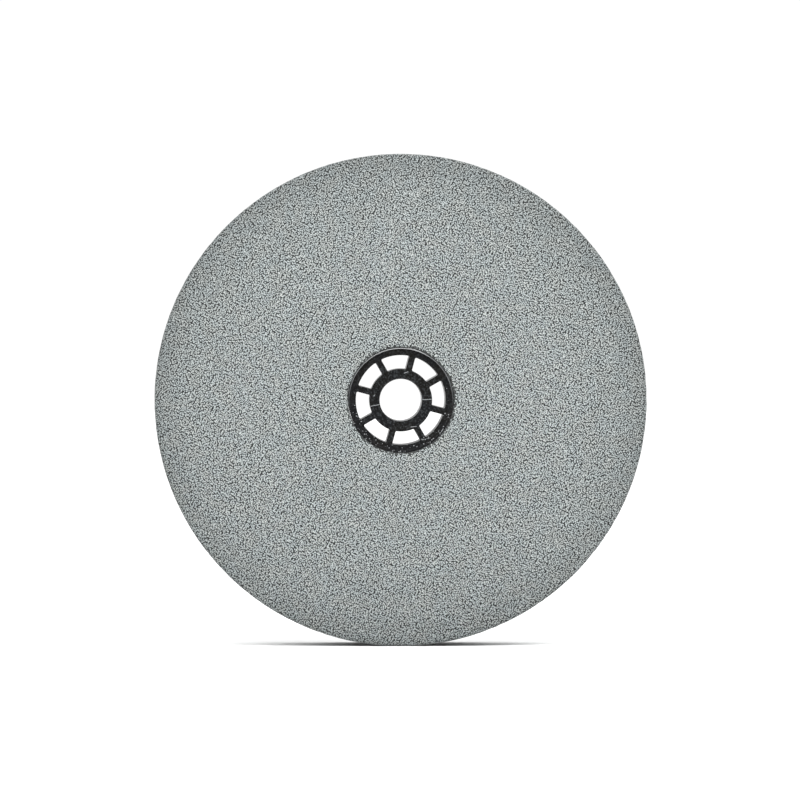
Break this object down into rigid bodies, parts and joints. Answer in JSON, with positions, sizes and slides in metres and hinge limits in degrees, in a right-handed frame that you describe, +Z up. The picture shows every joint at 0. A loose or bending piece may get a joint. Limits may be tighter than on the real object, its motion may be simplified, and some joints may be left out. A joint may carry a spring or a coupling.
{
  "type": "bench grinder wheel",
  "caption": "Flat disc grinding wheel of bonded silicon carbide grit, with a black spoked plastic reducing bush pushed into its bore.",
  "frame": {"origin": "the wheel's centre: on the spindle axis, half way between the two side faces", "axes": "+Y along the spindle axis, towards the rear face; the front face looks along -Y; +Z up; the wheel stands upright as it does on a grinder"},
  "size_m": [0.15, 0.02, 0.15],
  "materials": {
    "bonded_silicon_carbide": "matt, open-grained",
    "black_moulded_plastic": "as moulded, semi-matt"
  },
  "bodies": {
    "wheel": {"abrasive_wheel": "bonded_silicon_carbide"},
    "bush": {"reducing_bush": "black_moulded_plastic"}
  },
  "joints": [
    {"name": "bush_push_out", "type": "slide", "parent": "wheel", "child": "bush", "axis": [0, 1, 0], "range_m": [-0.02, 0.02]}
  ]
}
